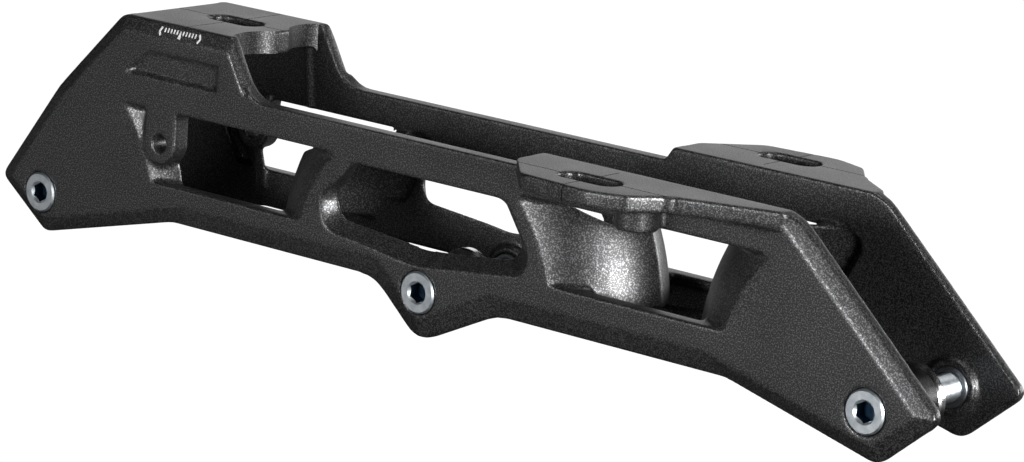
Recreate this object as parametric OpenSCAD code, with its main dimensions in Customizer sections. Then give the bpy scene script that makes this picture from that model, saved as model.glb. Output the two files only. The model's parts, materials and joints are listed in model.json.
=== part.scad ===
// Cast frame of a three-wheel inline skate with its axle bolts, bearing spacers and thread inserts.
// +X points to the toe, +Y to the far side and +Z up. The origin lies on the middle plane, under the
// middle of the length, at the level of the lowest edge. Outlines are drawn from the middle axle.

/* [Wheels and axles] */
// Distance from one axle to the next
axle_pitch = 115.5; // [110:0.5:122]
// Diameter of the largest wheel
wheel_d = 100; // [96:1:102]
// Room between the tyre and the webs
tyre_gap = 0.6; // [0.4:0.1:1.5]
// Width between the bosses, where the wheel hub sits
hub_w = 24.5; // [24:0.1:26]
// Diameter of an axle bolt
axle_d = 6; // [5:0.5:7]
// Radial room of an axle in its holes
axle_clear = 0.05; // [0.02:0.01:0.1]
// Diameter of the axle head
head_d = 9.2; // [8.5:0.1:10]
// Height of the axle head
head_h = 2.4; // [2:0.1:3]
// How far the head stands proud of the wall
head_proud = 0.3; // [0.1:0.1:0.8]
// Radial room round the axle head
head_clear = 0.2; // [0.1:0.05:0.4]
// Hexagon socket, across flats
socket_af = 4; // [3:0.5:4]
// Depth of the socket
socket_depth = 3; // [2:0.5:4]
// How far the axle tip stays inside the far wall
tip_inset = 1; // [0.5:0.5:2]
// Diameter of the bosses inside the walls
boss_d = 11.5; // [11:0.5:13]
// Outer diameter of a thread insert
insert_d = 8.6; // [8:0.2:10]

/* [Spacers] */
// Diameter of the spacer tube
tube_d = 8; // [7.5:0.1:9]
// Length of the spacer tube
tube_l = 9.8; // [8:0.1:10]
// Diameter of the spacer flange
flange_d = 15; // [13:0.5:17]
// Width of the spacer flange
flange_w = 2.2; // [1.5:0.1:3]
// Chamfer on the flange edges
flange_chamfer = 0.4; // [0.2:0.1:0.6]
// Gap between the spacer and the near boss
spacer_gap = 0.3; // [0.2:0.1:0.5]

/* [Walls] */
// Width over both side walls
outer_w = 35; // [34:0.5:38]
// Thickness of a side wall
wall = 3.7; // [3.2:0.1:4.2]
// Depth of the bevel round the outer faces
bevel_depth = 1.6; // [1:0.1:2]
// Width of the bevel along the lower edges
bevel_low = 4.8; // [4:0.1:5.5]
// Width of the bevel along the rear, heel and front edges
bevel_end = 3.4; // [2.5:0.1:4]
// Thickness of the webs that wrap the wheels
web_t = 1.6; // [1.4:0.1:2.2]
// Radius of the webs' round flanks
web_flank_r = 28; // [24:1:36]

/* [Heights above the axle line] */
// Heel platform
heel_z = 45.5; // [44:0.5:48]
// Toe lugs
toe_z = 35.5; // [34.5:0.5:37]
// Top of the upper rails
rail_top = 32.5; // [31.5:0.5:33.5]
// Height of the upper rails
rail_h = 8; // [7:0.5:9]
// Top of the lower rails
low_top = 8.8; // [8:0.1:10]
// Bottom of the lower rail behind the middle axle
rear_low = 0.5; // [0:0.1:1.5]
// Bottom of the lower rail ahead of the middle axle
front_low = -1.1; // [-2:0.1:0]
// Depth of the lobes below the axle line, before their round
lobe_drop = 10.5; // [9.5:0.1:12]

/* [Side outline] */
// Reach of the tail behind the rear axle
tail_reach = 14.5; // [13:0.5:16]
// Reach of the nose ahead of the front axle
nose_reach = 16.7; // [15:0.1:19]
// Height of the tail and nose points above the axle line
tip_z = 1.5; // [0.5:0.5:3]
// Rear end of the heel platform, ahead of the rear axle
heel_start = 23; // [21:0.5:25]
// Length of the heel platform
heel_l = 33.5; // [31:0.5:36]
// Thickness of the heel platform
heel_t = 3.6; // [3:0.1:4.5]
// Crown of the front edge of the heel platform
heel_crown = 2; // [1:0.5:3]
// Where the top of the front wall bends down, behind the front axle
nose_bend = 20.8; // [19:0.1:23]

/* [Toe lugs and slots] */
// Rear end of the near lug, ahead of the middle axle
lug_start = 29; // [27:0.5:31]
// How far the far lug sits ahead of the near lug
lug_stagger = 12.3; // [8:0.1:15]
// Width over both lugs
lug_span = 71; // [69:0.5:74]
// Thickness of a lug
lug_t = 3.6; // [3:0.1:4.2]
// Length of the straight outer part of a lug
lug_flat = 18; // [15:0.5:20]
// Slot centre ahead of the rear end of its lug
slot_ahead = 21.7; // [20:0.1:24]
// Distance between the two toe slots, across the frame
slot_span = 52; // [51:0.5:54]
// Heel slot centre ahead of the rear axle
heel_slot_ahead = 42.7; // [40:0.1:45]
// Length of a slot, end to end
slot_l = 15; // [12:0.5:17]
// Width of a slot
slot_w = 6.4; // [6:0.1:7]
// Diameter of the boss under a lug
lug_boss_d = 9; // [7:0.5:10]
// Depth of the boss under a lug
lug_boss_h = 5.5; // [3:0.5:6]

/* [Brake ears] */
// Ear hole ahead of the rear axle
ear_ahead = 37.3; // [36:0.1:39]
// Ear hole above the axle line
ear_z = 18.2; // [17.5:0.1:20]
// Width of an ear
ear_w = 9.4; // [8.5:0.1:10.5]
// Thickness of an ear
ear_t = 4.6; // [4:0.1:5]
// Diameter of the ear hole
ear_hole_d = 4; // [3.5:0.1:5]

/* [Pockets] */
// Depth of the plain pocket on the outer heel faces
badge_depth = 0.9; // [0.5:0.1:1.2]
// Length of that pocket
badge_l = 29; // [26:0.5:31]
// Height of that pocket
badge_h = 5.8; // [4.5:0.1:6.5]
// Depth of the pockets inside the lower rails
rail_pocket = 1.2; // [0.6:0.1:1.6]
// Length of those pockets
rail_pocket_l = 24; // [18:0.5:28]
// Height of those pockets
rail_pocket_h = 6; // [4:0.1:7]

/* [Hidden] */

$fn = 64;
eps = 0.01;
over = 1;
arc_step = 15;

half_w = outer_w / 2;
inner_y = half_w - wall;
boss_y = hub_w / 2;
boss_h = inner_y - boss_y;
axle_x = [-axle_pitch, 0, axle_pitch];
rear_x = axle_x[0];
front_x = axle_x[2];
rail_low = rail_top - rail_h;
window_top = rail_low + 1.2;
heel_rear = rear_x + heel_start;
heel_front = heel_rear + heel_l;
lug_low = toe_z - lug_t;
heel_low = heel_z - heel_t;
lug_y = lug_span / 2;
lug_nose = lug_flat + 23.5;

// The webs are parts of a round-sided shell turned round each axle, clear of the tyre and let into the walls
web_out = half_w - 0.05;
web_ring = wheel_d / 2 - 14;
web_nose = wheel_d / 2 + tyre_gap + web_t;
web_low = low_top - 4;
web_top = rail_low + 1;
web_notch = 5;

// Corners of the side outline: x, z, corner radius and bevel width of the edge that starts there
rear_foot = rear_x + 40.5;
front_foot = front_x - 35;
function side_corners(lug) = [
    [rear_x - tail_reach, tip_z, 2.5, bevel_end],
    [rear_x + 0.5, 1 - lobe_drop, 4, bevel_end],
    [rear_foot, rear_low, 12, bevel_low],
    [-14, rear_low, 12, bevel_low],
    [-0.5, -0.8 - lobe_drop, 7, bevel_low],
    [20.5, front_low, 14, bevel_low],
    [front_foot, front_low, 14, bevel_end],
    [front_x + 2.8, -lobe_drop, 4, bevel_end],
    [front_x + nose_reach, tip_z, 2.5, bevel_end],
    [front_x - nose_bend, toe_z, 10, -over],
    [lug, toe_z, 0.5, -over],
    [lug - 2, rail_top, 1, -over],
    [heel_front + 7.5, rail_top, 9, 1.2],
    [heel_front, heel_z, 1, bevel_end],
    [heel_rear, heel_z, 5, bevel_end],
    [rear_x + 3.4, heel_z / 2 + 3, 40, bevel_end],
];
outline = rounded(side_corners(lug_start));
low_z = min([for (p = outline) p.y]);
mid_x = (max([for (p = outline) p.x]) + min([for (p = outline) p.x])) / 2;

// Window corners: x, z and corner radius. The middle window is flared, wider outside than inside
window_rear = [
    [rear_x + web_ring - 13, window_top, 2], [rear_x + web_ring - 4, low_top + 0.4, 2],
    [4 - web_ring, low_top + 0.4, 3], [13 - web_ring, window_top, 3],
];
window_front = [
    [web_ring - 13, lug_low - 5.6, 3], [web_ring - 4, low_top, 2],
    [front_x - web_ring + 4, low_top, 3], [front_x - web_ring + 13, lug_low - 5.6, 3],
];
flare_out = [
    [-20.3, rail_low, 3], [-29.5, 15.5, 4], [-28, low_top - 0.3, 4], [-1.5, low_top - 3.4, 12],
    [28, low_top + 0.2, 4], [29.8, low_top + 4.7, 4], [22.5, rail_low, 4],
];
flare_in = [
    [-20.8, rail_low, 3], [-27.5, 15.5, 4], [-25, low_top + 2.4, 3], [-0.7, low_top + 0.2, 12],
    [22.5, low_top + 2.8, 3], [25, low_top + 6.2, 3], [18.5, rail_low, 4],
];

// Corner rounding
function flat(p) = [p.x, p.y];
function unit(v) = v / norm(v);
function turn(d) = d > 180 ? d - 360 : d < -180 ? d + 360 : d;
function corner_arc(before, at, after, count) = at.z == 0 ? [flat(at)] :
    let (
        a = unit(flat(before) - flat(at)),
        b = unit(flat(after) - flat(at)),
        half = acos(a * b) / 2,
        centre = flat(at) + unit(a + b) * at.z / sin(half),
        start = flat(at) + a * at.z / tan(half) - centre,
        end = flat(at) + b * at.z / tan(half) - centre,
        first = atan2(start.y, start.x),
        sweep = turn(atan2(end.y, end.x) - first),
        steps = count > 0 ? count : max(2, ceil(abs(sweep) / arc_step))
    )
    [for (k = [0:steps]) centre + at.z * [cos(first + sweep * k / steps), sin(first + sweep * k / steps)]];
function rounded(c, count = 0) =
    let (n = len(c))
    [for (i = [0:n - 1]) each corner_arc(c[(i + n - 1) % n], c[i], c[(i + 1) % n], count)];

// Corner of an outline whose edges are moved inwards, each by its own distance
function normal(p, q) = let (d = unit(flat(q) - flat(p))) [-d.y, d.x];
function inset_corner(before, at, after, d_before, d_after) =
    let (
        n1 = normal(before, at),
        n2 = normal(at, after),
        c1 = n1 * flat(at) + d_before,
        c2 = n2 * flat(at) + d_after,
        det = n1.x * n2.y - n1.y * n2.x
    )
    [(c1 * n2.y - c2 * n1.y) / det, (n1.x * c2 - n2.x * c1) / det];
function inset_ring(c, share, y) =
    let (n = len(c))
    [for (i = [0:n - 1])
        let (
            b = c[(i + n - 1) % n],
            d1 = b[3] < 0 ? b[3] : b[3] * share,
            d2 = c[i][3] < 0 ? c[i][3] : c[i][3] * share,
            q = inset_corner(b, c[i], c[(i + 1) % n], d1, d2)
        )
        [q.x, y, q.y]];

// Cutter that runs along the bevelled edges, with mitred corners
module bevel_cutter() {
    c = side_corners(lug_start);
    chain = [12, 13, 14, 15, 0, 1, 2, 3, 4, 5, 6, 7, 8, 9];
    m = len(chain);
    lift = 0.2;
    deep = inset_ring(c, -lift, bevel_depth * (1 + lift) - half_w);
    face = inset_ring(c, 1 + lift, -bevel_depth * lift - half_w);
    outside = inset_ring(c, -lift, -half_w - over);
    points = [for (k = chain) each [deep[k], face[k], outside[k]]];
    sides = [for (i = [0:m - 2], j = [0:2])
        [3 * i + j, 3 * i + 3 + j, 3 * i + 3 + (j + 1) % 3, 3 * i + (j + 1) % 3]];
    polyhedron(points, concat([[0, 1, 2]], sides, [[3 * m - 1, 3 * m - 2, 3 * m - 3]]), convexity = 10);
}

// Extrusion across the frame, from y0 to y1
module across(y0, y1) {
    translate([0, y1, 0])
        rotate([90, 0, 0])
            linear_extrude(height = y1 - y0)
                children();
}

// Cutter of the near middle window, from the outer corners to the inner ones
module flared_window() {
    out = rounded(flare_out, 3);
    in = rounded(flare_in, 3);
    n = len(out);
    reach = over / wall;
    mouth = [for (i = [0:n - 1]) out[i] + (out[i] - in[i]) * reach];
    throat = [for (i = [0:n - 1]) in[i] + (in[i] - out[i]) * reach];
    points = concat(
        [for (p = mouth) [p.x, -half_w - over, p.y]],
        [for (p = throat) [p.x, over - inner_y, p.y]]);
    sides = [for (i = [0:n - 1])
        let (j = (i + 1) % n)
        each [[i, j, n + j], [i, n + j, n + i]]];
    caps = [[for (i = [n - 1:-1:0]) i], [for (i = [n:2 * n - 1]) i]];
    polyhedron(points, concat(sides, caps), convexity = 4);
}

module cylinder_y(d, y0, y1) {
    translate([0, y1, 0])
        rotate([90, 0, 0])
            cylinder(d = d, h = y1 - y0);
}

module block(low, high) {
    translate(low)
        cube(high - low);
}

module slot_hole(z0, z1) {
    for (side = [-1, 1])
        translate([side * (slot_l - slot_w) / 2, 0, z0])
            cylinder(d = slot_w, h = z1 - z0);
    block([-(slot_l - slot_w) / 2, -slot_w / 2, z0], [(slot_l - slot_w) / 2, slot_w / 2, z1]);
}

// One near side wall with its windows and pockets; its top rises where the lug starts
module side_wall(lug) {
    difference() {
        across(-half_w, -inner_y)
            difference() {
                polygon(rounded(side_corners(lug)));
                for (w = [window_rear, window_front])
                    polygon(rounded(w));
            }
        bevel_cutter();
        badge_pocket();
        lower_pocket();
    }
}

// Plain pocket with a slanted rear end on the outer heel face
module badge_pocket() {
    z0 = rail_top + 0.3;
    x1 = heel_front - 2.5;
    across(-half_w - over, badge_depth - half_w)
        polygon(rounded([
            [x1 - badge_l, z0, 0.4], [x1, z0, 0.4], [x1, z0 + badge_h, 0.4], [x1 - badge_l + 8, z0 + badge_h, 0.4]]));
}

// Long pocket with round ends inside the lower rail
module lower_pocket() {
    z = (low_top + front_low) / 2;
    reach = (rail_pocket_l - rail_pocket_h) / 2;
    translate([front_x / 2 - 10, 0, z]) {
        for (side = [-1, 1])
            translate([side * reach, 0, 0])
                cylinder_y(rail_pocket_h, -inner_y - rail_pocket, -inner_y + over);
        block([-reach, -inner_y - rail_pocket, -rail_pocket_h / 2], [reach, -inner_y + over, rail_pocket_h / 2]);
    }
}

// Round brake ear that hangs from the upper rail in front of the rear web
module brake_ear() {
    translate([rear_x + ear_ahead, 0, 0]) {
        translate([0, 0, ear_z])
            cylinder_y(ear_w, -half_w, ear_t - half_w);
        block([-ear_w / 2, -half_w, ear_z], [ear_w / 2, ear_t - half_w, window_top + over]);
    }
}

// Half section of a web: two round flanks that start at the walls and meet at the tread of the wheel
module web_profile(inside) {
    r = web_flank_r - inside;
    reach = web_out - inside;
    tip = [web_nose, 0];
    side = [web_ring, web_out];
    along = side - tip;
    aim = unit([along.y, -along.x]);
    centre = (tip + side) / 2 - aim * sqrt(web_flank_r * web_flank_r - along * along / 4);
    intersection() {
        translate(centre)
            circle(r = r);
        translate([centre.x, -centre.y])
            circle(r = r);
        polygon([[web_ring - 14, -reach], [web_nose, -reach], [web_nose, reach], [web_ring - 14, reach]]);
    }
}

// Shell round the wheel at axle x, on the side dir, up to top, with its upper edge dipping by notch
module web(x, dir, top, notch) {
    x0 = dir > 0 ? web_ring * 0.5 : -web_nose - over;
    x1 = dir > 0 ? web_nose + over : -web_ring * 0.5;
    notch_r = (inner_y * inner_y + notch * notch) / 2 / notch;
    translate([x, 0, 0])
        difference() {
            intersection() {
                rotate([90, 0, 0])
                    rotate_extrude()
                        difference() {
                            web_profile(0);
                            web_profile(web_t);
                        }
                block([x0, -half_w, web_low], [x1, half_w, top]);
            }
            translate([x0 - over, 0, top - notch + notch_r])
                rotate([0, 90, 0])
                    cylinder(r = notch_r, h = x1 - x0 + 2 * over, $fn = 128);
        }
}

// Plate under the heel, crowned in front and cut clear of the rear wheel
module heel_platform() {
    crown_r = (inner_y * inner_y + heel_crown * heel_crown) / 2 / heel_crown;
    difference() {
        union() {
            block([heel_rear + 1, -inner_y - over, heel_low], [heel_front - 1, inner_y + over, heel_z]);
            intersection() {
                translate([heel_front - 1 + heel_crown - crown_r, 0, heel_low])
                    cylinder(r = crown_r, h = heel_t, $fn = 128);
                block([heel_front - 2, -inner_y, heel_low], [heel_front + heel_crown, inner_y, heel_z]);
            }
        }
        translate([rear_x, 0, 0])
            cylinder_y(wheel_d + 2 * tyre_gap + 1, -boss_y, boss_y);
        translate([rear_x + heel_slot_ahead, 0, 0])
            slot_hole(heel_low - over, heel_z + over);
    }
}

// One near toe lug with its slot and the boss below it; x is its rear end
module toe_lug(x) {
    tail = front_x - nose_bend - 2 - x;
    difference() {
        union() {
            translate([x, 0, lug_low])
                linear_extrude(height = lug_t)
                    polygon(rounded([
                        [0, -inner_y - eps, 0], [0, -half_w - 5.5, 2], [10, 1.5 - lug_y, 4],
                        [10 + lug_flat, -lug_y, 9], [lug_nose - 5.5, 3 - lug_y, 3], [lug_nose, 10.3 - lug_y, 3],
                        [tail, -half_w, 0], [tail, -inner_y - eps, 0]]));
            translate([x + slot_ahead + 9.5, -half_w - 4.5, lug_low - lug_boss_h])
                cylinder(d = lug_boss_d, h = lug_boss_h + eps);
        }
        translate([x + slot_ahead, -slot_span / 2, 0])
            slot_hole(lug_low - over, toe_z + over);
    }
}

module frame_casting() {
    color([0.09, 0.09, 0.1])
        place()
            difference() {
                union() {
                    side_wall(lug_start);
                    mirror([0, 1, 0])
                        side_wall(lug_start + lug_stagger);
                    heel_platform();
                    toe_lug(lug_start);
                    mirror([0, 1, 0])
                        toe_lug(lug_start + lug_stagger);
                    web(axle_x[1], -1, web_top, web_notch);
                    web(axle_x[1], 1, lug_low - 5, web_notch + lug_low - 5 - web_top);
                    web(axle_x[2], -1, lug_low - 5, 0.4);
                    difference() {
                        web(axle_x[0], 1, web_top, web_notch);
                        block([rear_x, 0.4 - inner_y, -over], [heel_front, inner_y - 0.4, rail_top]);
                        block([rear_x + web_ring + 5.5, -half_w, -over], [heel_front, half_w, rail_top]);
                    }
                    brake_ear();
                    mirror([0, 1, 0])
                        brake_ear();
                    for (x = axle_x)
                        translate([x, 0, 0]) {
                            cylinder_y(boss_d, -inner_y - eps, -boss_y);
                            cylinder_y(boss_d, boss_y, inner_y + eps);
                        }
                }
                flared_window();
                mirror([0, 1, 0])
                    flared_window();
                for (x = axle_x)
                    translate([x, 0, 0]) {
                        cylinder_y(axle_d + 2 * axle_clear, -half_w - over, 0);
                        cylinder_y(head_d + 2 * head_clear, -half_w - over, head_h - head_proud - half_w);
                        cylinder_y(insert_d, 0, half_w + over);
                    }
                translate([rear_x + ear_ahead, 0, ear_z])
                    cylinder_y(ear_hole_d, -half_w - over, half_w + over);
            }
}

// Everything is drawn from the middle axle and then moved to the origin
module place() {
    translate([-mid_x, 0, -low_z])
        children();
}

// Axle bolt with a round flat head and a hexagon socket
module axle(i) {
    head_y = -half_w - head_proud;
    color([0.7, 0.74, 0.78])
        place()
            translate([axle_x[i], 0, 0])
                difference() {
                    union() {
                        cylinder_y(head_d, head_y, head_y + head_h);
                        cylinder_y(axle_d, head_y + head_h - eps, half_w - tip_inset);
                    }
                    translate([0, head_y + socket_depth, 0])
                        rotate([90, 0, 0])
                            cylinder(d = socket_af / cos(30), h = socket_depth + over, $fn = 6);
                }
}

// Turned spacer: a tube with a chamfered flange at its far end
module spacer(i) {
    start = spacer_gap - boss_y;
    bore_r = axle_d / 2 + axle_clear;
    c = flange_chamfer;
    color([0.8, 0.8, 0.82])
        place()
            translate([axle_x[i], start, 0])
                rotate([-90, 0, 0])
                    rotate_extrude()
                        polygon([
                            [bore_r, 0], [tube_d / 2, 0], [tube_d / 2, tube_l], [flange_d / 2 - c, tube_l],
                            [flange_d / 2, tube_l + c], [flange_d / 2, tube_l + flange_w - c],
                            [flange_d / 2 - c, tube_l + flange_w], [bore_r, tube_l + flange_w]]);
}

// Threaded insert in the far wall, flush with both faces
module insert(i) {
    color([0.55, 0.55, 0.57])
        place()
            translate([axle_x[i], 0, 0])
                difference() {
                    cylinder_y(insert_d, boss_y, half_w);
                    cylinder_y(axle_d + 2 * axle_clear, boss_y - over, half_w + over);
                }
}

frame_casting();
axle(0);  // rear_axle
axle(1);  // middle_axle
axle(2);  // front_axle
spacer(0);  // rear_spacer
spacer(1);  // middle_spacer
spacer(2);  // front_spacer
insert(0);  // rear_insert
insert(1);  // middle_insert
insert(2);  // front_insert
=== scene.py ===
"""Dressed inline skate frame: cast and coated frame, axle bolts, bearing spacers and threaded inserts."""

import json
import math

import bpy
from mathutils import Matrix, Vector

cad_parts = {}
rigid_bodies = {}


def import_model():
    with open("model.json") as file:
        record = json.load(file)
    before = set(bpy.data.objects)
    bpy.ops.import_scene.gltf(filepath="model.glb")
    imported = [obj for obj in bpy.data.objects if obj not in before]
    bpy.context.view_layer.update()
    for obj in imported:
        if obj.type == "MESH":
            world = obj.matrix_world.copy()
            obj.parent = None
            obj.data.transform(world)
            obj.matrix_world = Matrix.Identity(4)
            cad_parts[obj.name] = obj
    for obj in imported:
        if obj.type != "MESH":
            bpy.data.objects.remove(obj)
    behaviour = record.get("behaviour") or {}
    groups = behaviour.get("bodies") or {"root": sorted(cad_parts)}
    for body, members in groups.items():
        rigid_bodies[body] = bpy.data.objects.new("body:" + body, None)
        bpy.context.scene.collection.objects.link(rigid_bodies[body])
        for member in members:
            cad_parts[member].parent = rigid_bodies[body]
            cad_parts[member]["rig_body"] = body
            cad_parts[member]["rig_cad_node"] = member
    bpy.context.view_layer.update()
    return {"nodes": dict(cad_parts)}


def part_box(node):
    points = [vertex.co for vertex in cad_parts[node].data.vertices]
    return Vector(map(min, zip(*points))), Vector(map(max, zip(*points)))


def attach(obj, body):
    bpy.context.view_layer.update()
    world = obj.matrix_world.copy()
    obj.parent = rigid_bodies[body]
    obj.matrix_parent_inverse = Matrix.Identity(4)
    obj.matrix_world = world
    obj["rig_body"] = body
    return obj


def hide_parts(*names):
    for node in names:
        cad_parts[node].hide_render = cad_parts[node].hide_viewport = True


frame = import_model()

mm = 0.001
axle_names = ("rear", "middle", "front")

# Sizes in millimetres, in the frame of the solids
half_width = 17.5
head_d = 9.2
head_h = 2.4
head_proud = 0.3
head_recess_d = 9.6
bore_d = 6.1
shank_d = 6.0
shank_tip_y = 16.5
socket_af = 4.0
socket_depth = 3.0
insert_d = 8.6
boss_y = 12.25
tube_d = 8.0
flange_d = 15.0
spacer_start_y = -11.95
flange_start_y = -2.15
flange_end_y = 0.05
heel_top_z = 55.618
toe_top_z = 45.618
ear_x = -79.158
ear_z = 28.318
ear_hole_d = 4.0
heel_slot = (-73.758, 0.0)
near_slot = (49.742, -26.0)
far_slot = (62.042, 26.0)
near_nose = (69.5, -25.2)
far_nose = (81.8, 25.2)
lug_low_z = 42.018
inner_y = 13.8
line_w = 0.32
line_deep = 0.22
heel_tongue_x = -58.98
heel_low_z = 52.018
heel_lip = 1.5
heel_lip_l = 7
scallop_x = -52.96
scallop_y = 9.0
scallop_d = 19.1
heel_rib_x = -63.4
heel_rib_d = 1.7
heel_rib_low_z = 36
heel_rib_high_z = 53
heel_rib_lean = -6.3
nose_rib_d = 1.4

# Reach of each engraved cross from its slot's middle, along the frame and across it
heel_cross = ((-21, 17), (-15.4, 18.5))
near_cross = ((-23, 22), (-10.5, 9.5))
far_cross = ((-23, 22), (-9.5, 10.5))

# Inner and outer end of the tick on a lug's edge, from the middle plane
lug_tick_y = (34.65, 37)

# How far a cutter runs past a face
over = 1


# Modelling helpers


def select_only(piece):
    bpy.ops.object.select_all(action="DESELECT")
    piece.select_set(True)
    bpy.context.view_layer.objects.active = piece


def begin_edit(mode):
    bpy.ops.object.mode_set(mode="EDIT")
    bpy.ops.mesh.select_mode(type=mode)


def end_edit():
    bpy.ops.object.mode_set(mode="OBJECT")


def use_modifier(piece, kind, **settings):
    """Adds one modifier with its settings and applies it."""
    select_only(piece)
    modifier = piece.modifiers.new(kind.lower(), kind)
    for key, value in settings.items():
        setattr(modifier, key, value)
    bpy.ops.object.modifier_apply(modifier=modifier.name)


def settle(piece):
    """Puts the piece's place into its mesh."""
    select_only(piece)
    bpy.ops.object.transform_apply(location=True, rotation=True, scale=True)


def clean_normals(piece):
    select_only(piece)
    begin_edit("VERT")
    bpy.ops.mesh.select_all(action="SELECT")
    bpy.ops.mesh.remove_doubles(threshold=0.002 * mm)
    bpy.ops.mesh.normals_make_consistent(inside=False)
    end_edit()


def finish_piece(piece, name, material, body, angle):
    """Gives the piece its name, material and body; edges over angle, in degrees, stay sharp."""
    piece.name = name
    piece.data.name = name
    piece.data.materials.clear()
    piece.data.materials.append(material)
    select_only(piece)
    bpy.ops.object.shade_smooth_by_angle(angle=math.radians(angle))
    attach(piece, body)


def join_pieces(pieces):
    bpy.ops.object.select_all(action="DESELECT")
    for piece in pieces:
        piece.select_set(True)
    bpy.context.view_layer.objects.active = pieces[0]
    bpy.ops.object.join()
    return bpy.context.view_layer.objects.active


def block(low, high):
    """A box between two corners in millimetres."""
    bpy.ops.object.select_all(action="DESELECT")
    middle = [(a + b) / 2 * mm for a, b in zip(low, high)]
    size = [(b - a) * mm for a, b in zip(low, high)]
    bpy.ops.mesh.primitive_cube_add(size=1, location=middle, scale=size)
    piece = bpy.context.active_object
    settle(piece)
    return piece


def rod_y(x, z, d, y0, y1, sides=64):
    """A plain rod along Y, used as a cutter."""
    bpy.ops.object.select_all(action="DESELECT")
    bpy.ops.mesh.primitive_cylinder_add(
        vertices=sides,
        radius=d / 2 * mm,
        depth=(y1 - y0) * mm,
        location=(x * mm, (y0 + y1) / 2 * mm, z * mm),
        rotation=(math.radians(90), 0, 0),
    )
    piece = bpy.context.active_object
    settle(piece)
    return piece


def rod_up(x, y, d, z0, z1, lean=0, sides=32):
    """An upright rod; lean tips its upper end towards +X, in degrees."""
    bpy.ops.object.select_all(action="DESELECT")
    bpy.ops.mesh.primitive_cylinder_add(
        vertices=sides,
        radius=d / 2 * mm,
        depth=(z1 - z0) * mm,
        location=(x * mm, y * mm, (z0 + z1) / 2 * mm),
        rotation=(0, math.radians(lean), 0),
    )
    piece = bpy.context.active_object
    settle(piece)
    return piece


def turned(x, z, stations, sides=64, hollow=False):
    """A piece turned about a line along Y: a ring extruded through stations of (y, radius)."""
    bpy.ops.object.select_all(action="DESELECT")
    y, r = stations[0]
    bpy.ops.mesh.primitive_circle_add(
        vertices=sides,
        radius=r * mm,
        fill_type="NOTHING" if hollow else "NGON",
        location=(x * mm, y * mm, z * mm),
        rotation=(math.radians(90), 0, 0),
    )
    piece = bpy.context.active_object
    settle(piece)
    begin_edit("VERT")
    bpy.ops.mesh.select_all(action="SELECT")
    for next_y, next_r in stations[1:]:
        bpy.ops.mesh.extrude_region_move(TRANSFORM_OT_translate={"value": (0, (next_y - y) * mm, 0)})
        ratio = next_r / r
        bpy.ops.transform.resize(value=(ratio, 1, ratio), center_override=(x * mm, next_y * mm, z * mm))
        y, r = next_y, next_r
    end_edit()
    clean_normals(piece)
    return piece


def cut(piece, cutter, solver="EXACT"):
    use_modifier(piece, "BOOLEAN", operation="DIFFERENCE", solver=solver, object=cutter)
    bpy.data.objects.remove(cutter, do_unlink=True)


# Materials


def new_group(name, inputs, outputs):
    group = bpy.data.node_groups.new(name, "ShaderNodeTree")
    for socket, kind, value in inputs:
        made = group.interface.new_socket(name=socket, in_out="INPUT", socket_type=kind)
        if value is not None:
            made.default_value = value
    for socket, kind in outputs:
        group.interface.new_socket(name=socket, in_out="OUTPUT", socket_type=kind)
    enter = group.nodes.new("NodeGroupInput")
    leave = group.nodes.new("NodeGroupOutput")
    return group, enter, leave


def node(tree, kind, **settings):
    made = tree.nodes.new(kind)
    for key, value in settings.items():
        setattr(made, key, value)
    return made


def grain_group():
    """Fine coat grain: a height, a soft cloud tone and small bright flecks."""
    group, enter, leave = new_group(
        "coat_grain",
        [
            ("Vector", "NodeSocketVector", None),
            ("Grain Scale", "NodeSocketFloat", 2400.0),
            ("Fleck Scale", "NodeSocketFloat", 2600.0),
        ],
        [
            ("Height", "NodeSocketFloat"),
            ("Cloud", "NodeSocketFloat"),
            ("Fleck", "NodeSocketFloat"),
        ],
    )
    link = group.links.new
    grain = node(group, "ShaderNodeTexNoise")
    grain.inputs["Detail"].default_value = 2.0
    grain.inputs["Roughness"].default_value = 0.6
    link(enter.outputs["Vector"], grain.inputs["Vector"])
    link(enter.outputs["Grain Scale"], grain.inputs["Scale"])
    link(grain.outputs["Fac"], leave.inputs["Height"])
    cloud = node(group, "ShaderNodeTexNoise")
    cloud.inputs["Scale"].default_value = 60.0
    cloud.inputs["Detail"].default_value = 4.0
    link(enter.outputs["Vector"], cloud.inputs["Vector"])
    link(cloud.outputs["Fac"], leave.inputs["Cloud"])
    specks = node(group, "ShaderNodeTexNoise")
    specks.inputs["Detail"].default_value = 1.0
    link(enter.outputs["Vector"], specks.inputs["Vector"])
    link(enter.outputs["Fleck Scale"], specks.inputs["Scale"])
    pick = node(group, "ShaderNodeMapRange")
    pick.inputs["From Min"].default_value = 0.5
    pick.inputs["From Max"].default_value = 0.64
    link(specks.outputs["Fac"], pick.inputs["Value"])
    link(pick.outputs["Result"], leave.inputs["Fleck"])
    return group


def start_material(name):
    material = bpy.data.materials.new(name)
    material.use_nodes = True
    tree = material.node_tree
    tree.nodes.clear()
    out = node(tree, "ShaderNodeOutputMaterial")
    shader = node(tree, "ShaderNodeBsdfPrincipled")
    tree.links.new(shader.outputs["BSDF"], out.inputs["Surface"])
    coords = node(tree, "ShaderNodeTexCoord")
    return material, tree, shader, coords


def ramp(tree, low, high, low_color, high_color):
    made = node(tree, "ShaderNodeValToRGB")
    made.color_ramp.elements[0].position = low
    made.color_ramp.elements[0].color = (*low_color, 1)
    made.color_ramp.elements[1].position = high
    made.color_ramp.elements[1].color = (*high_color, 1)
    return made


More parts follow.
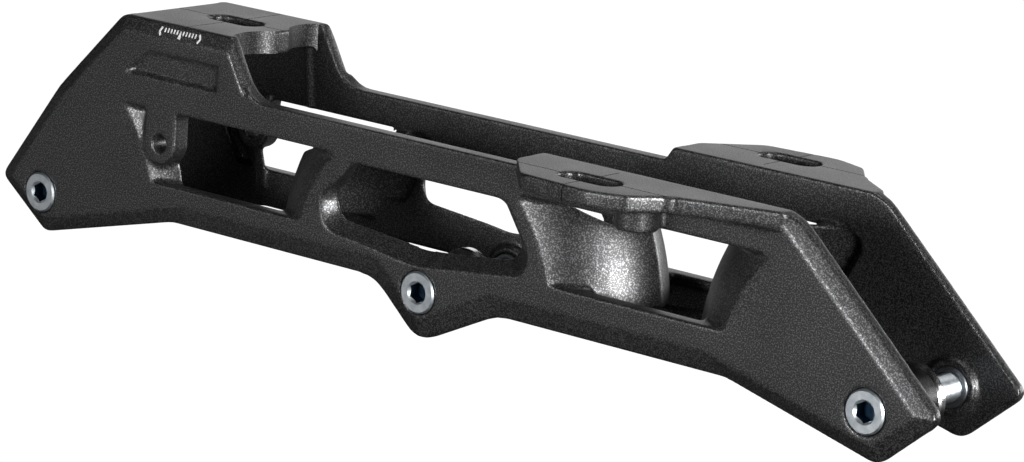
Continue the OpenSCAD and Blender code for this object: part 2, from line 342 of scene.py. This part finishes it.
def black_coat_material(grain):
    """Textured black coat with fine metal flecks in it."""
    material, tree, shader, coords = start_material("black_powder_coat")
    link = tree.links.new
    texture = node(tree, "ShaderNodeGroup", node_tree=grain)
    texture.inputs["Grain Scale"].default_value = 2400.0
    texture.inputs["Fleck Scale"].default_value = 3200.0
    link(coords.outputs["Object"], texture.inputs["Vector"])
    tone = ramp(tree, 0.35, 0.7, (0.001, 0.001, 0.0011), (0.005, 0.005, 0.0053))
    link(texture.outputs["Height"], tone.inputs["Fac"])
    sparkle = node(tree, "ShaderNodeMix", data_type="RGBA")
    sparkle.inputs["B"].default_value = (0.19, 0.19, 0.196, 1)
    link(texture.outputs["Fleck"], sparkle.inputs["Factor"])
    link(tone.outputs["Color"], sparkle.inputs["A"])
    link(sparkle.outputs["Result"], shader.inputs["Base Color"])
    link(texture.outputs["Fleck"], shader.inputs["Metallic"])
    rough = node(tree, "ShaderNodeMapRange")
    rough.inputs["From Min"].default_value = 0.3
    rough.inputs["From Max"].default_value = 0.7
    rough.inputs["To Min"].default_value = 0.34
    rough.inputs["To Max"].default_value = 0.42
    link(texture.outputs["Cloud"], rough.inputs["Value"])
    link(rough.outputs["Result"], shader.inputs["Roughness"])
    bump = node(tree, "ShaderNodeBump")
    bump.inputs["Strength"].default_value = 0.6
    bump.inputs["Distance"].default_value = 0.06 * mm
    link(texture.outputs["Height"], bump.inputs["Height"])
    link(bump.outputs["Normal"], shader.inputs["Normal"])
    shader.inputs["Specular IOR Level"].default_value = 0.7
    return material


def plated_material(name, low_color, high_color, roughness, scale, stretch):
    """Bare or plated metal: a blotchy tone and fine tool marks, the same all ways or in rings about Y."""
    material, tree, shader, coords = start_material(name)
    link = tree.links.new
    shader.inputs["Metallic"].default_value = 1.0
    blotch = node(tree, "ShaderNodeTexNoise")
    blotch.inputs["Scale"].default_value = 700.0
    blotch.inputs["Detail"].default_value = 3.0
    link(coords.outputs["Object"], blotch.inputs["Vector"])
    tone = ramp(tree, 0.3, 0.7, low_color, high_color)
    link(blotch.outputs["Fac"], tone.inputs["Fac"])
    link(tone.outputs["Color"], shader.inputs["Base Color"])
    rough = node(tree, "ShaderNodeMapRange")
    rough.inputs["To Min"].default_value = roughness - 0.06
    rough.inputs["To Max"].default_value = roughness + 0.1
    link(blotch.outputs["Fac"], rough.inputs["Value"])
    link(rough.outputs["Result"], shader.inputs["Roughness"])
    place = node(tree, "ShaderNodeMapping")
    place.inputs["Scale"].default_value = stretch
    link(coords.outputs["Object"], place.inputs["Vector"])
    marks = node(tree, "ShaderNodeTexNoise")
    marks.inputs["Scale"].default_value = scale
    marks.inputs["Detail"].default_value = 2.0
    link(place.outputs["Vector"], marks.inputs["Vector"])
    bump = node(tree, "ShaderNodeBump")
    bump.inputs["Strength"].default_value = 0.25
    bump.inputs["Distance"].default_value = 0.02 * mm
    link(marks.outputs["Fac"], bump.inputs["Height"])
    link(bump.outputs["Normal"], shader.inputs["Normal"])
    return material


def print_material():
    material, tree, shader, coords = start_material("white_scale_print")
    link = tree.links.new
    patch = node(tree, "ShaderNodeTexNoise")
    patch.inputs["Scale"].default_value = 3000.0
    link(coords.outputs["Object"], patch.inputs["Vector"])
    tone = ramp(tree, 0.25, 0.6, (0.45, 0.45, 0.45), (0.85, 0.85, 0.84))
    link(patch.outputs["Fac"], tone.inputs["Fac"])
    link(tone.outputs["Color"], shader.inputs["Base Color"])
    shader.inputs["Roughness"].default_value = 0.55
    return material


grain = grain_group()
black_coat = black_coat_material(grain)
even_marks = (1, 1, 1)
ring_marks = (0.1, 8, 0.1)
zinc_plate = plated_material(
    "zinc_plate",
    low_color=(0.7, 0.78, 0.84),
    high_color=(0.9, 0.94, 0.97),
    roughness=0.36,
    scale=900.0,
    stretch=even_marks,
)
# Very dark blue metal for the inside of the hexagon sockets: painted shade in the recess, not a different
# steel
socket_painted_shade = plated_material(
    "socket_painted_shade",
    low_color=(0.012, 0.03, 0.055),
    high_color=(0.03, 0.06, 0.1),
    roughness=0.4,
    scale=900.0,
    stretch=even_marks,
)
turned_bright = plated_material(
    "turned_bright",
    low_color=(0.7, 0.7, 0.7),
    high_color=(0.82, 0.82, 0.81),
    roughness=0.16,
    scale=400.0,
    stretch=ring_marks,
)
insert_steel = plated_material(
    "insert_steel",
    low_color=(0.22, 0.23, 0.25),
    high_color=(0.34, 0.35, 0.37),
    roughness=0.35,
    scale=900.0,
    stretch=even_marks,
)
scale_print = print_material()


# Where the axles are


def axle_centre(which):
    low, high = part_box(which + "_insert")
    return (low.x + high.x) / 2 / mm, (low.z + high.z) / 2 / mm


axles = {which: axle_centre(which) for which in axle_names}


# The casting, with fillets like a cast piece


def casting_cutters():
    """Rods for the axle bores, the head recesses, the insert holes and the hole through the brake ears."""
    outside = half_width + 2 * over
    bore_end_y = 0.5
    recess_end_y = head_h - head_proud - half_width
    cutters = []
    for x, z in axles.values():
        cutters.append(rod_y(x, z, bore_d, -outside, bore_end_y))
        cutters.append(rod_y(x, z, head_recess_d, -outside, recess_end_y))
        cutters.append(rod_y(x, z, insert_d, 0, outside))
    cutters.append(rod_y(ear_x, ear_z, ear_hole_d, -outside, outside, 40))
    return cutters


def engraving_cutters():
    """Thin blocks for the crossed lines of the heel pad and the lugs, and for the tick on each lug's edge."""
    half = line_w / 2
    cutters = []
    for (x, y), top, (x_reach, y_reach) in (
        (heel_slot, heel_top_z, heel_cross),
        (near_slot, toe_top_z, near_cross),
        (far_slot, toe_top_z, far_cross),
    ):
        low = top - line_deep
        high = top + over
        cutters.append(block((x + x_reach[0], y - half, low), (x + x_reach[1], y + half, high)))
        cutters.append(block((x - half, y + y_reach[0], low), (x + half, y + y_reach[1], high)))
    tick_low = lug_low_z - over
    tick_high = toe_top_z + over
    inner_end, outer_end = lug_tick_y
    near_x = near_slot[0]
    far_x = far_slot[0]
    cutters.append(block((near_x - half, -outer_end, tick_low), (near_x + half, -inner_end, tick_high)))
    cutters.append(block((far_x - half, inner_end, tick_low), (far_x + half, outer_end, tick_high)))
    return cutters


def heel_scallop_cutters():
    """Upright rods that hollow the heel pad's front on both sides of its tongue, up to the walls."""
    low = heel_low_z - heel_lip - over
    high = heel_top_z + over
    wall_start_x = -80
    wall_end_x = -30
    cutters = []
    for side in (-1, 1):
        cutter = rod_up(scallop_x, side * scallop_y, scallop_d, low, high, sides=128)
        wall_y = sorted((side * inner_y, side * 2 * inner_y))
        wall = block((wall_start_x, wall_y[0], low - over), (wall_end_x, wall_y[1], high + over))
        cut(cutter, wall)
        cutters.append(cutter)
    return cutters


def cast_ribs():
    """The lip under the heel pad's front, ribs inside the walls below it, and ribs on the lugs' noses."""
    wall_bite = inner_y + 0.4
    rib_y = inner_y + 0.1
    nose_inset = 0.1
    lip_low = (heel_tongue_x - heel_lip_l, -wall_bite, heel_low_z - heel_lip)
    lip_high = (heel_tongue_x, wall_bite, heel_low_z + over)
    ribs = [block(lip_low, lip_high)]
    for side in (-1, 1):
        rib = rod_up(heel_rib_x, side * rib_y, heel_rib_d, heel_rib_low_z, heel_rib_high_z, heel_rib_lean)
        ribs.append(rib)
    for x, y in (near_nose, far_nose):
        ribs.append(rod_up(x, y, nose_rib_d, lug_low_z + nose_inset, toe_top_z - nose_inset))
    return ribs


def make_casting():
    """A copy of the solid casting with ribs, fillets in its inner corners and its holes cut again."""
    voxel = 0.34 * mm
    fillet = 0.7 * mm
    face_goal = 90000
    select_only(frame["nodes"]["frame_casting"])
    bpy.ops.object.duplicate()
    piece = bpy.context.active_object
    bpy.ops.object.parent_clear(type="CLEAR_KEEP_TRANSFORM")
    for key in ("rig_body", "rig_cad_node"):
        if key in piece:
            del piece[key]
    clean_normals(piece)
    piece = join_pieces([piece] + cast_ribs())
    use_modifier(piece, "REMESH", mode="VOXEL", voxel_size=voxel)
    use_modifier(piece, "DISPLACE", strength=fillet, mid_level=0.0)
    use_modifier(piece, "REMESH", mode="VOXEL", voxel_size=voxel)
    use_modifier(piece, "DISPLACE", strength=-fillet, mid_level=0.0)
    use_modifier(piece, "REMESH", mode="VOXEL", voxel_size=voxel)
    use_modifier(piece, "SMOOTH", factor=0.5, iterations=3)
    ratio = min(1.0, face_goal / len(piece.data.polygons))
    use_modifier(piece, "DECIMATE", ratio=ratio)
    for cutter in casting_cutters() + heel_scallop_cutters() + engraving_cutters():
        cut(piece, cutter, "MANIFOLD")
    finish_piece(piece, "casting", black_coat, "frame", 40)
    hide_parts("frame_casting")


make_casting()


# White index scale on the bevel beside the heel pad


def flat_bar(u, v, length, width, thickness, turn=0):
    """A bar in the XZ plane, round its middle at u, v; turn tips its upper end towards +X, in degrees."""
    bpy.ops.object.select_all(action="DESELECT")
    bpy.ops.mesh.primitive_cube_add(
        size=1,
        location=(u * mm, 0, v * mm),
        rotation=(0, math.radians(turn), 0),
        scale=(width * mm, thickness * mm, length * mm),
    )
    piece = bpy.context.active_object
    settle(piece)
    return piece


def make_index_scale():
    """A row of ticks with a bent bar at each end and a needle in the middle, laid on the bevel."""
    thickness = 0.2
    tick_steps = 5
    tick_pitch = 0.93
    tick_v = 2.03
    tick_l = 1.05
    tick_w = 0.36
    end_u = 5.98
    end_high_v = 2.1
    end_low_v = 1.1
    end_l = 1.2
    end_w = 0.5
    end_turn = 29
    needle_v = 1.55
    needle_l = 1.9
    needle_w = 1.0
    needle_top = 2.5
    point_above = 2
    point_share = 0.15
    edge = 0.04
    place = (-74.86, -17.47, 52.24)
    lean = -25.2
    ticks = []
    for step in range(1, tick_steps + 1):
        for side in (-1, 1):
            ticks.append(flat_bar(side * step * tick_pitch, tick_v, tick_l, tick_w, thickness))
    for side in (-1, 1):
        ticks.append(flat_bar(side * end_u, end_high_v, end_l, end_w, thickness, -side * end_turn))
        ticks.append(flat_bar(side * end_u, end_low_v, end_l, end_w, thickness, side * end_turn))
    needle = flat_bar(0, needle_v, needle_l, needle_w, thickness)
    select_only(needle)
    begin_edit("VERT")
    bpy.ops.mesh.select_all(action="DESELECT")
    end_edit()
    for vertex in needle.data.vertices:
        vertex.select = vertex.co.z > point_above * mm
    begin_edit("VERT")
    bpy.ops.transform.resize(value=(point_share, 1, 1), center_override=(0, 0, needle_top * mm))
    end_edit()
    piece = join_pieces([needle] + ticks)
    piece.location = [value * mm for value in place]
    piece.rotation_euler = (math.radians(lean), 0, 0)
    settle(piece)
    use_modifier(piece, "BEVEL", width=edge * mm, segments=1)
    finish_piece(piece, "index_scale", scale_print, "frame", 30)


make_index_scale()


# Axle bolts


def paint_socket_shade(piece, x, z, face_y):
    """Gives the walls and the floor of the hexagon socket the very dark blue metal, as painted shade in the
    recess.
    """
    corner_reach = 0.62 * socket_af * mm
    mouth_depth = 0.5
    floor_depth = socket_depth + 0.1
    piece.data.materials.append(socket_painted_shade)
    for face in piece.data.polygons:
        off_line = math.hypot(face.center.x - x * mm, face.center.z - z * mm)
        depth = face.center.y / mm - face_y
        if off_line < corner_reach and mouth_depth < depth < floor_depth:
            face.material_index = 1


def make_axle(which):
    """An axle bolt: a head with a hexagon socket, a plain shank and turns of thread up to its tip."""
    x, z = axles[which]
    face_y = -half_width - head_proud
    under_y = face_y + head_h
    head_r = head_d / 2
    face_edge = 0.35
    under_edge = 0.2
    crest_r = shank_d / 2
    core_r = 2.62
    thread_y = 4.0
    thread_end_y = shank_tip_y - 0.4
    pitch = 1.0
    tip_l = 0.3
    tip_edge = 0.5
    mouth_start = (face_y - 0.5, 3.1)
    mouth_end = (face_y + 0.55, 2.0)
    stations = [
        (face_y, head_r - face_edge),
        (face_y + face_edge, head_r),
        (under_y - under_edge, head_r),
        (under_y, head_r - under_edge),
        (under_y, crest_r),
        (thread_y, crest_r),
    ]
    y = thread_y
    while y + pitch < thread_end_y:
        stations.append((y + pitch / 2, core_r))
        stations.append((y + pitch, crest_r))
        y += pitch
    stations.append((shank_tip_y - tip_l, core_r))
    stations.append((shank_tip_y, core_r - tip_edge))
    piece = turned(x, z, stations)
    bpy.ops.object.select_all(action="DESELECT")
    bpy.ops.mesh.primitive_cylinder_add(
        vertices=6,
        radius=socket_af / 2 / math.cos(math.radians(30)) * mm,
        depth=2 * socket_depth * mm,
        location=(x * mm, face_y * mm, z * mm),
        rotation=(math.radians(90), 0, 0),
    )
    socket = bpy.context.active_object
    settle(socket)
    cut(piece, socket)
    mouth = turned(x, z, [mouth_start, mouth_end], 48)
    cut(piece, mouth)
    finish_piece(piece, which + "_axle_bolt", zinc_plate, which + "_axle", 30)
    # The socket's inside gets painted shade
    paint_socket_shade(piece, x, z, face_y)
    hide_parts(which + "_axle")


def make_spacer(which):
    """A bearing spacer: a bored tube with a flange at its far end."""
    x, z = axles[which]
    tube_edge = 0.2
    flange_edge = 0.4
    bore_edge = 0.3
    bore_r = bore_d / 2
    tube_r = tube_d / 2
    flange_r = flange_d / 2
    stations = [
        (spacer_start_y, bore_r + tube_edge),
        (spacer_start_y, tube_r - tube_edge),
        (spacer_start_y + tube_edge, tube_r),
        (flange_start_y, tube_r),
        (flange_start_y, flange_r - flange_edge),
        (flange_start_y + flange_edge, flange_r),
        (flange_end_y - flange_edge, flange_r),
        (flange_end_y, flange_r - flange_edge),
        (flange_end_y, bore_r + bore_edge),
        (flange_end_y - bore_edge, bore_r),
        (spacer_start_y + tube_edge, bore_r),
        (spacer_start_y, bore_r + tube_edge),
    ]
    piece = turned(x, z, stations, 96, True)
    finish_piece(piece, which + "_bearing_spacer", turned_bright, which + "_spacer", 30)
    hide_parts(which + "_spacer")


def make_insert(which):
    """A threaded insert, as a bored sleeve with broken edges in the far wall."""
    x, z = axles[which]
    inner_edge = 0.2
    outer_edge = 0.3
    inner_bore_edge = 0.4
    outer_bore_edge = 0.5
    bore_r = bore_d / 2
    outer_r = insert_d / 2
    stations = [
        (boss_y, bore_r + inner_bore_edge),
        (boss_y, outer_r - inner_edge),
        (boss_y + inner_edge, outer_r),
        (half_width - outer_edge, outer_r),
        (half_width, outer_r - outer_edge),
        (half_width, bore_r + outer_bore_edge),
        (half_width - outer_bore_edge, bore_r),
        (boss_y + inner_bore_edge, bore_r),
        (boss_y, bore_r + inner_bore_edge),
    ]
    piece = turned(x, z, stations, 64, True)
    finish_piece(piece, which + "_threaded_insert", insert_steel, "frame", 30)
    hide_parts(which + "_insert")


for which in axle_names:
    make_axle(which)
    make_spacer(which)
    make_insert(which)


# Floor, light and camera


def make_floor():
    """A white floor. The glow it shows in reflections is lower where the frame stands over it, as a painted
    shadow under the frame.
    """
    bpy.ops.object.select_all(action="DESELECT")
    bpy.ops.mesh.primitive_plane_add(size=6, location=(0, 0, -0.2 * mm))
    piece = bpy.context.active_object
    piece.name = "pale_floor"
    material, tree, shader, coords = start_material("pale_floor")
    link = tree.links.new
    shader.inputs["Base Color"].default_value = (0, 0, 0, 1)
    shader.inputs["Roughness"].default_value = 0.9
    shader.inputs["Specular IOR Level"].default_value = 0.0
    shader.inputs["Emission Color"].default_value = (1, 1, 1, 1)
    axes = node(tree, "ShaderNodeSeparateXYZ")
    link(coords.outputs["Object"], axes.inputs["Vector"])
    aside = node(tree, "ShaderNodeMath", operation="ABSOLUTE")
    link(axes.outputs["Y"], aside.inputs[0])
    # Painted shadow: in reflections, the floor's glow drops towards its middle line, under the frame
    shade = node(tree, "ShaderNodeMapRange", interpolation_type="SMOOTHSTEP")
    shade.inputs["From Min"].default_value = 0.015
    shade.inputs["From Max"].default_value = 0.04
    shade.inputs["To Min"].default_value = 0.015
    shade.inputs["To Max"].default_value = 0.17
    link(aside.outputs["Value"], shade.inputs["Value"])
    seen = node(tree, "ShaderNodeLightPath")
    white = node(tree, "ShaderNodeMath", operation="MULTIPLY")
    white.inputs[1].default_value = 1.05
    link(seen.outputs["Is Camera Ray"], white.inputs[0])
    glow = node(tree, "ShaderNodeMath", operation="MAXIMUM")
    link(shade.outputs["Result"], glow.inputs[0])
    link(white.outputs["Value"], glow.inputs[1])
    link(glow.outputs["Value"], shader.inputs["Emission Strength"])
    piece.data.materials.append(material)
    piece.visible_diffuse = False


def make_light(name, place, target, size_x, size_y, power):
    data = bpy.data.lights.new(name, "AREA")
    data.shape = "RECTANGLE"
    data.size = size_x
    data.size_y = size_y
    data.energy = power
    light = bpy.data.objects.new(name, data)
    bpy.context.scene.collection.objects.link(light)
    light.location = place
    light.rotation_euler = (Vector(target) - Vector(place)).to_track_quat("-Z", "Y").to_euler()
    light.visible_camera = False


def make_world():
    world = bpy.data.worlds.new("studio")
    world.use_nodes = True
    back = world.node_tree.nodes["Background"]
    back.inputs["Color"].default_value = (1, 1, 1, 1)
    back.inputs["Strength"].default_value = 0.002
    bpy.context.scene.world = world


def make_camera():
    data = bpy.data.cameras.new("photo_view")
    data.sensor_fit = "HORIZONTAL"
    data.sensor_width = 36
    data.lens = 136.96
    data.clip_start = 0.01
    camera = bpy.data.objects.new("photo_view", data)
    bpy.context.scene.collection.objects.link(camera)
    camera.location = (0.517632, -0.633286, 0.210039)
    camera.rotation_euler = [math.radians(angle) for angle in (77.0207, -3.72, 39.5904)]
    bpy.context.scene.camera = camera


middle = (0, 0, 0.03)
toe_side = (0.03, 0, 0.03)
heel_side = (-0.03, 0, 0.03)

make_floor()
make_light("back_sweep", (-0.42, 1.22, 0.4), middle, size_x=2.2, size_y=0.7, power=4.8)
make_light("right_low", (1.1, -0.48, 0.16), toe_side, size_x=0.34, size_y=0.3, power=16)
make_light("front_low", (-0.1, -1.2, 0.2), heel_side, size_x=0.4, size_y=0.3, power=7)
make_light("left_fill", (-0.5, -1.1, 0.3), middle, size_x=0.6, size_y=0.4, power=1)
make_light("top_soft", (0.1, 0.2, 1.2), middle, size_x=1.2, size_y=0.9, power=4)
make_light("back_fill", (0.6, 1.2, 0.22), middle, size_x=1.0, size_y=0.4, power=9)
make_world()
make_camera()
bpy.context.scene.view_settings.view_transform = "Standard"
bpy.context.scene.view_settings.look = "None"
